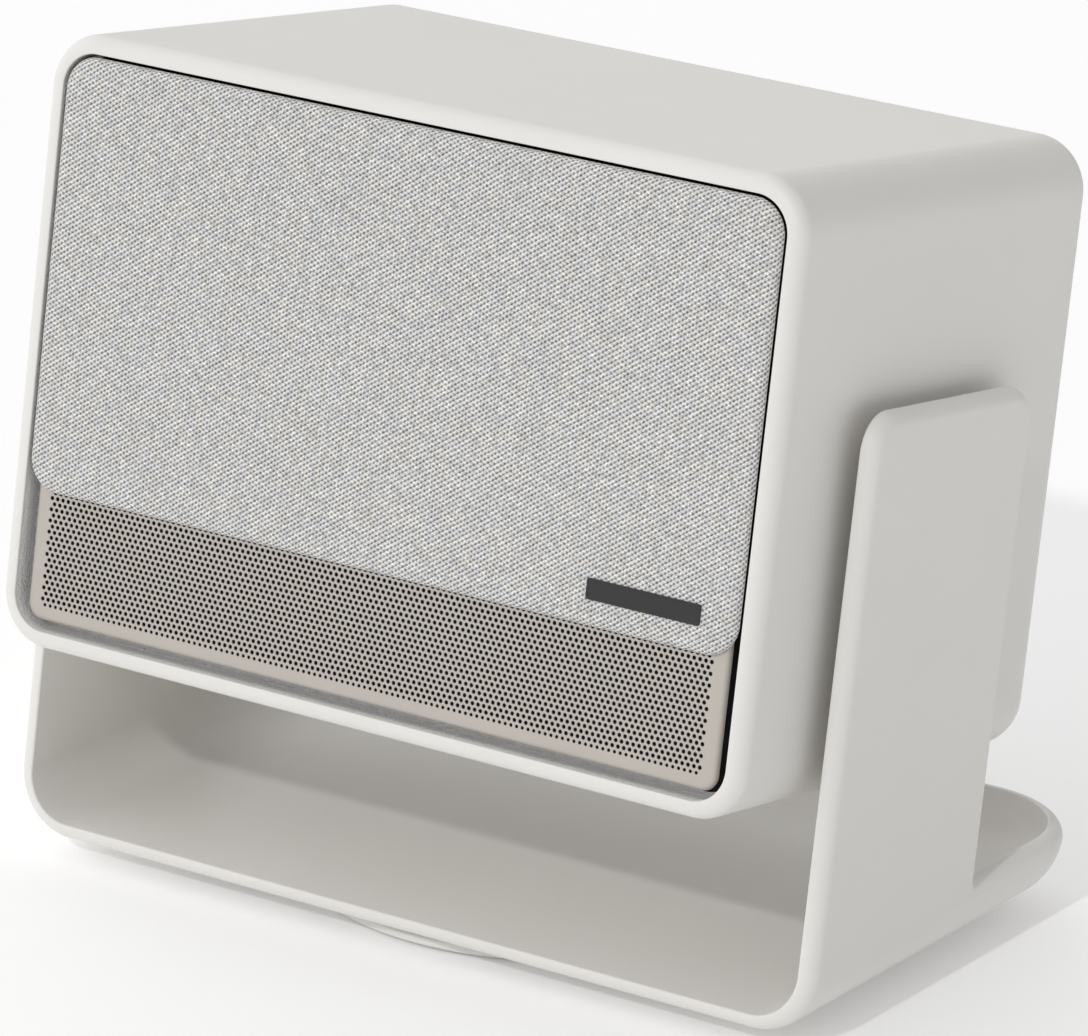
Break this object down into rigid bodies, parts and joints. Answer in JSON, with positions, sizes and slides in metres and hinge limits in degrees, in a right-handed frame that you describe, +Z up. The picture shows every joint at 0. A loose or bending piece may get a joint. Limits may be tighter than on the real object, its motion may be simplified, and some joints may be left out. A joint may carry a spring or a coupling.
{
  "type": "smart speaker",
  "caption": "Box-shaped home speaker with a built-in projector behind a sliding fabric cover, a perforated grille, a tilting U-shaped yoke and a round swivel foot.",
  "frame": {"origin": "centre of the foot's underside, on the swivel axis", "axes": "+Z up along the swivel axis, +Y towards the rear, +X to the viewer's right when facing the grille"},
  "size_m": [0.275, 0.1887, 0.2517],
  "materials": {
    "shell_white": "fine satin, warm off-white",
    "bezel_grey": "moulded leather grain, mid grey",
    "cloth": "light grey melange twill",
    "cover_plastic": "plain moulded",
    "badge_black": "smooth satin",
    "champagne": "satin anodised, warm grey, finely perforated",
    "mesh_black": "acoustic gauze",
    "rubber_black": "matte, fine grain",
    "graphite": "fine matte grain",
    "receiver_red": "dark red, infrared pass",
    "cone_paper": "pressed paper with rubber surround",
    "steel": "plated",
    "nylon_white": "natural nylon",
    "alloy": "mill finish",
    "copper": "drawn copper",
    "board_green": "solder mask",
    "supply_grey": "zinc plated case",
    "window_tint": "tinted, polished",
    "lens_clear": "coated optical glass"
  },
  "bodies": {
    "foot": {"foot_pad": "rubber_black", "foot_disc": "shell_white", "lower_race": "steel", "bearing_balls": "steel", "swivel_spindle": "steel", "retaining_ring": "steel"},
    "stand": {"yoke": "shell_white", "base_weight": "steel", "base_cover": "graphite", "upper_race": "steel", "base_screws": "steel", "tilt_bushes": "graphite"},
    "head": {"shell": "shell_white", "front_bezel": "bezel_grey", "rear_cover": "shell_white", "rear_screws": "steel", "port_plate": "graphite", "hdmi_sockets": "steel", "usb_socket": "steel", "audio_jack": "graphite", "power_inlet": "graphite", "button_switch": "board_green", "grille": "champagne", "acoustic_mesh": "mesh_black", "window_glass": "window_tint", "cover_rails": "steel", "chassis": "steel", "engine_shelf": "steel", "tilt_brackets": "steel", "bracket_screws": "steel", "tilt_shafts": "steel", "friction_washers": "graphite", "speaker_box_left": "graphite", "speaker_box_right": "graphite", "driver_left": "graphite", "driver_right": "graphite", "driver_magnets": "steel", "driver_cones": "cone_paper", "light_engine": "graphite", "lens_barrel": "graphite", "lens_glass": "lens_clear", "focus_motor": "steel", "camera_module": "graphite", "remote_receiver": "receiver_red", "heat_sink": "alloy", "heat_pipes": "copper", "fan_frames": "graphite", "main_board": "board_green", "power_supply": "supply_grey", "cover_motor": "steel"},
    "cover": {"cover_frame": "cover_plastic", "cover_fabric": "cloth", "badge_plate": "badge_black", "cover_rack": "nylon_white"},
    "cover_gear": {"cover_pinion": "nylon_white"},
    "lens_ring": {"focus_ring": "graphite"},
    "lens_gear": {"focus_pinion": "nylon_white"},
    "left_fan": {"fan_rotor_left": "graphite"},
    "right_fan": {"fan_rotor_right": "graphite"},
    "button": {"power_button": "graphite"}
  },
  "joints": [
    {"name": "swivel", "type": "hinge", "parent": "foot", "child": "stand", "pos_m": [0, 0, 0], "axis": [0, 0, 1], "continuous": true},
    {"name": "tilt", "type": "hinge", "parent": "stand", "child": "head", "pos_m": [0, -0.012, 0.152], "axis": [-1, 0, 0], "range_deg": [-23, 112]},
    {"name": "cover_slide", "type": "slide", "parent": "head", "child": "cover", "axis": [0, -0.1392, -0.9903], "range_m": [0, 0.038]},
    {"name": "cover_pinion_spin", "type": "hinge", "parent": "head", "child": "cover_gear", "pos_m": [-0.1026, -0.07177, 0.19373], "axis": [0, 0.9903, -0.1392], "range_deg": [-364, 0]},
    {"name": "focus_turn", "type": "hinge", "parent": "head", "child": "lens_ring", "pos_m": [0, -0.04948, 0.21584], "axis": [0, 0.9903, -0.1392], "range_deg": [0, 60]},
    {"name": "focus_pinion_spin", "type": "hinge", "parent": "head", "child": "lens_gear", "pos_m": [0.0261, -0.04948, 0.21584], "axis": [0, 0.9903, -0.1392], "range_deg": [-201, 0]},
    {"name": "fan_left_spin", "type": "hinge", "parent": "head", "child": "left_fan", "pos_m": [-0.078, 0.06406, 0.19382], "axis": [0, 0.9903, -0.1392], "continuous": true},
    {"name": "fan_right_spin", "type": "hinge", "parent": "head", "child": "right_fan", "pos_m": [0.078, 0.06406, 0.19382], "axis": [0, 0.9903, -0.1392], "continuous": true},
    {"name": "power_press", "type": "slide", "parent": "head", "child": "button", "axis": [0, -0.9903, 0.1392], "range_m": [0, 0.0012], "stiffness_N_per_m": 900}
  ],
  "couplings": [
    {"joint": "cover_pinion_spin", "follows": "cover_slide", "rad_per_m": -166.67},
    {"joint": "focus_pinion_spin", "follows": "focus_turn", "ratio": -3.3333}
  ]
}
